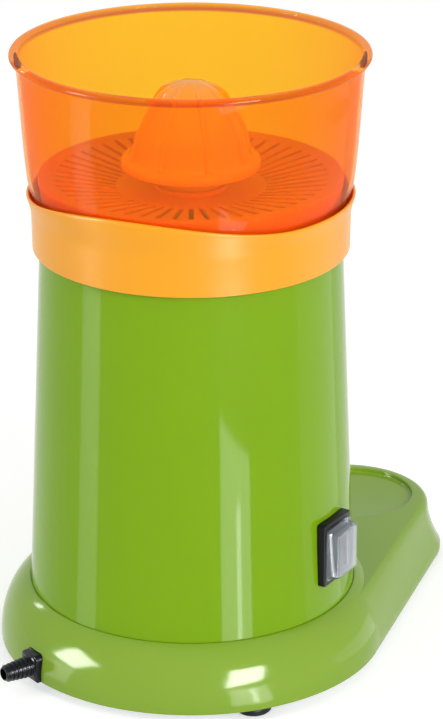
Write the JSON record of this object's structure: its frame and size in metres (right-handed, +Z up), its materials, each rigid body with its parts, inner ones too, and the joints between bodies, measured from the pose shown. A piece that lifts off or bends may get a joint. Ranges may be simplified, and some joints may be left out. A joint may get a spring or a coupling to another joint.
{
  "type": "citrus juicer",
  "caption": "Electric citrus juicer with a tapered motor housing, glass seat base, lift-off collector with spout, clear bowl, slotted strainer and ribbed driven reamer.",
  "frame": {"origin": "centre of the footprint's box on the surface that the feet stand on", "axes": "+Z up along the drive axis, -Y from the drive axis towards the glass seat and spout"},
  "size_m": [0.22, 0.3303, 0.35],
  "materials": {
    "green_base": "gloss moulded ABS",
    "green_housing": "high gloss moulded ABS",
    "zinc_sheet": "zinc plated sheet",
    "black_rubber": "moulded rubber",
    "zinc_screw": "zinc plated",
    "orange_collector": "gloss opaque moulding",
    "clear_orange": "clear tinted SAN moulding",
    "orange_strainer": "satin moulding",
    "orange_reamer": "satin moulding",
    "white_nylon": "natural nylon",
    "steel_shaft": "ground stainless steel",
    "rotor_steel": "varnished laminations",
    "bearing_steel": "polished bearing steel",
    "cast_alloy": "die-cast",
    "copper_wire": "varnished copper wire",
    "alloy_can": "drawn can",
    "lead_sleeve": "insulated stranded leads",
    "brass_screw": "plain",
    "black_plastic": "satin moulded nylon",
    "clear_silicone": "clear moulded silicone",
    "black_gland": "moulded nylon and rubber"
  },
  "bodies": {
    "housing": {"base_shell": "green_base", "bottom_plate": "zinc_sheet", "rubber_feet": "black_rubber", "foot_screws": "zinc_screw", "motor_housing": "green_housing", "housing_screws": "zinc_screw", "shaft_seal": "black_rubber", "upper_bearing": "bearing_steel", "lower_bearing": "bearing_steel", "upper_motor_bracket": "cast_alloy", "lower_motor_bracket": "cast_alloy", "stator_core": "rotor_steel", "stator_windings": "copper_wire", "motor_tie_bolts": "zinc_screw", "motor_mount_screws": "zinc_screw", "run_capacitor": "alloy_can", "capacitor_clip": "zinc_sheet", "terminal_block": "white_nylon", "terminal_screws": "brass_screw", "supply_leads": "lead_sleeve", "switch_bezel": "black_plastic", "switch_body": "black_plastic", "switch_cover": "clear_silicone", "cable_gland": "black_gland", "gland_clamp": "white_nylon"},
    "drive": {"spindle": "steel_shaft", "slinger_ring": "black_rubber", "rotor": "rotor_steel", "cooling_fan": "white_nylon"},
    "collector": {"collector": "orange_collector"},
    "bowl": {"bowl": "clear_orange"},
    "strainer": {"strainer": "orange_strainer"},
    "drive_hub": {"drive_hub": "white_nylon"},
    "reamer": {"reamer": "orange_reamer"},
    "rocker": {"switch_rocker": "black_plastic"}
  },
  "joints": [
    {"name": "spindle_spin", "type": "hinge", "parent": "housing", "child": "drive", "pos_m": [0, 0.03834, 0.246], "axis": [0, 0, 1], "continuous": true},
    {"name": "collector_lift", "type": "slide", "parent": "housing", "child": "collector", "axis": [0, 0, 1], "range_m": [0, 0.12]},
    {"name": "bowl_lift", "type": "slide", "parent": "collector", "child": "bowl", "axis": [0, 0, 1], "range_m": [0, 0.12]},
    {"name": "strainer_lift", "type": "slide", "parent": "bowl", "child": "strainer", "axis": [0, 0, 1], "range_m": [0, 0.12]},
    {"name": "reamer_spin", "type": "hinge", "parent": "strainer", "child": "drive_hub", "pos_m": [0, 0.03834, 0.2842], "axis": [0, 0, 1], "continuous": true},
    {"name": "reamer_lift", "type": "slide", "parent": "drive_hub", "child": "reamer", "axis": [0, 0, 1], "range_m": [0, 0.1]},
    {"name": "rocker_tilt", "type": "hinge", "parent": "housing", "child": "rocker", "pos_m": [-0.09012, 0.02504, 0.0775], "axis": [-0.1461, 0.9893, 0], "range_deg": [0, 14]}
  ],
  "couplings": [
    {"joint": "reamer_spin", "follows": "spindle_spin", "ratio": 1}
  ]
}
